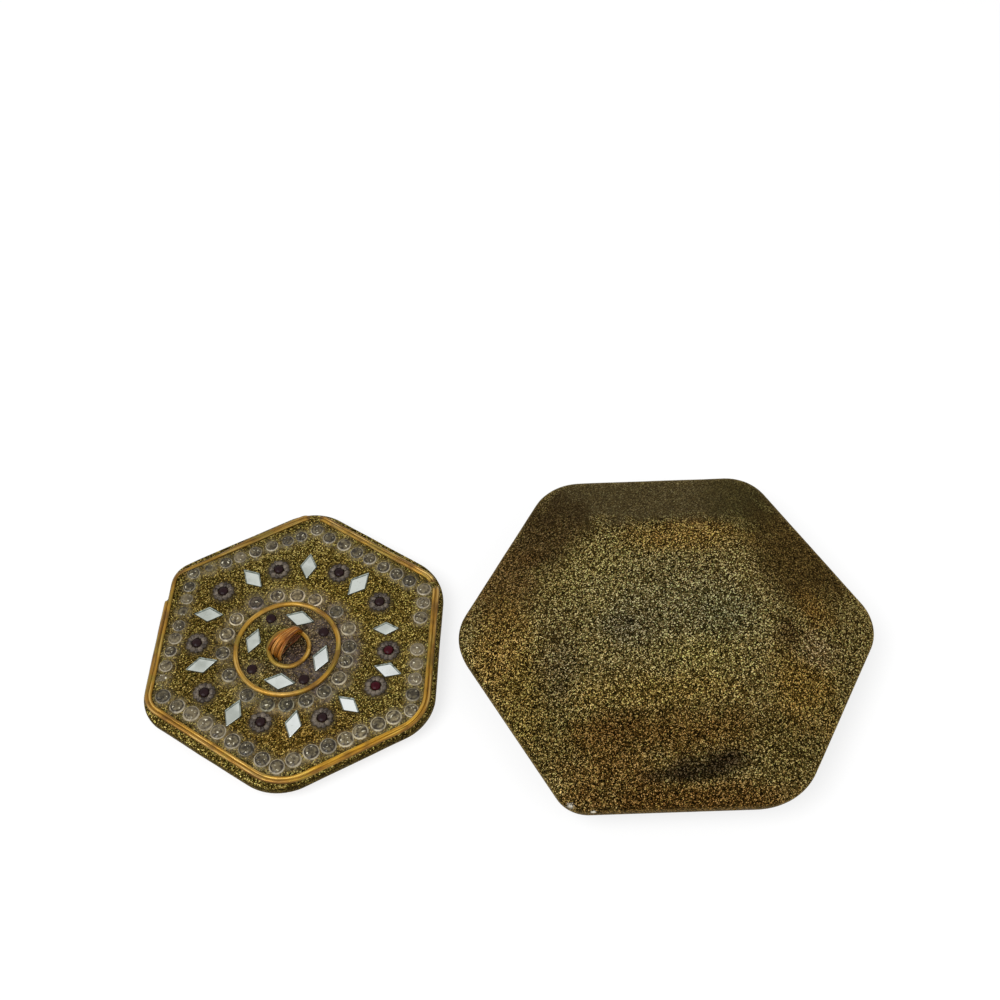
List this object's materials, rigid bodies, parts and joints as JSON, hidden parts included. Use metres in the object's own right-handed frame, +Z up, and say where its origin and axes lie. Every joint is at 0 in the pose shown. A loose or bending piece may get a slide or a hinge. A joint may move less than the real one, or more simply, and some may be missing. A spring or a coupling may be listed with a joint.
{
  "type": "trinket box",
  "caption": "Low hexagonal lacquered wooden trinket box stored open: upturned hollow base beside its loose lid, which is set with cut mirrors and clear stones round a wire loop knob.",
  "frame": {"origin": "on the ground, in the middle of the space that the lid and the base take side by side", "axes": "+X from the lid towards the base, +Y away from the front of the picture, +Z up; the base is stored upside down, so its foot faces +Z"},
  "size_m": [0.1618, 0.0826, 0.0205],
  "materials": {
    "wood": "bare, lightly sanded",
    "base_lac": "glossy dark olive-brown lac full of fine gold glitter",
    "lid_lac": "glossy dark olive lac full of fine gold glitter",
    "gilt_wire": "bright gilt wire",
    "copper_wire": "bright copper-coloured wire",
    "clear_stone": "clear, foiled back",
    "petal_glass": "clear, greyish purple",
    "dark_bead": "dark, polished",
    "red_bead": "dark red, polished",
    "looking_glass": "silvered, bevelled edge"
  },
  "bodies": {
    "base": {"base_bowl": "wood", "base_shoulder": "wood", "mouth_ring": "wood", "base_lac_coat": "base_lac"},
    "lid": {"lid_wood": "wood", "lid_lac_coat": "lid_lac", "border_wire_inner": "gilt_wire", "border_wire_outer": "gilt_wire", "medallion_ring": "gilt_wire", "knob_ring": "gilt_wire", "knob_loop": "copper_wire", "medallion_stones": "clear_stone", "stone_row_1": "clear_stone", "stone_row_2": "clear_stone", "stone_row_3": "clear_stone", "stone_row_4": "clear_stone", "stone_row_5": "clear_stone", "stone_row_6": "clear_stone", "rosette_01": "petal_glass", "rosette_02": "petal_glass", "rosette_03": "petal_glass", "rosette_04": "petal_glass", "rosette_05": "petal_glass", "rosette_06": "petal_glass", "rosette_07": "petal_glass", "rosette_08": "petal_glass", "rosette_09": "petal_glass", "rosette_10": "petal_glass", "rosette_bead_01": "dark_bead", "rosette_bead_02": "dark_bead", "rosette_bead_03": "dark_bead", "rosette_bead_04": "dark_bead", "rosette_bead_05": "dark_bead", "rosette_bead_06": "dark_bead", "rosette_bead_07": "red_bead", "rosette_bead_08": "red_bead", "rosette_bead_09": "dark_bead", "rosette_bead_10": "dark_bead", "mirror_01": "looking_glass", "mirror_02": "looking_glass", "mirror_03": "looking_glass", "mirror_04": "looking_glass", "mirror_05": "looking_glass", "mirror_06": "looking_glass", "mirror_07": "looking_glass", "mirror_08": "looking_glass", "mirror_09": "looking_glass", "mirror_10": "looking_glass", "medallion_mirror_1": "looking_glass", "medallion_mirror_2": "looking_glass", "medallion_mirror_3": "looking_glass", "medallion_mirror_4": "looking_glass", "medallion_bead_1": "dark_bead", "medallion_bead_2": "dark_bead", "medallion_bead_3": "dark_bead", "medallion_bead_4": "dark_bead"}
  },
  "joints": [
    {"name": "lid_lift", "type": "slide", "parent": "base", "child": "lid", "axis": [0, 0, 1], "range_m": [0, 0.06]}
  ]
}
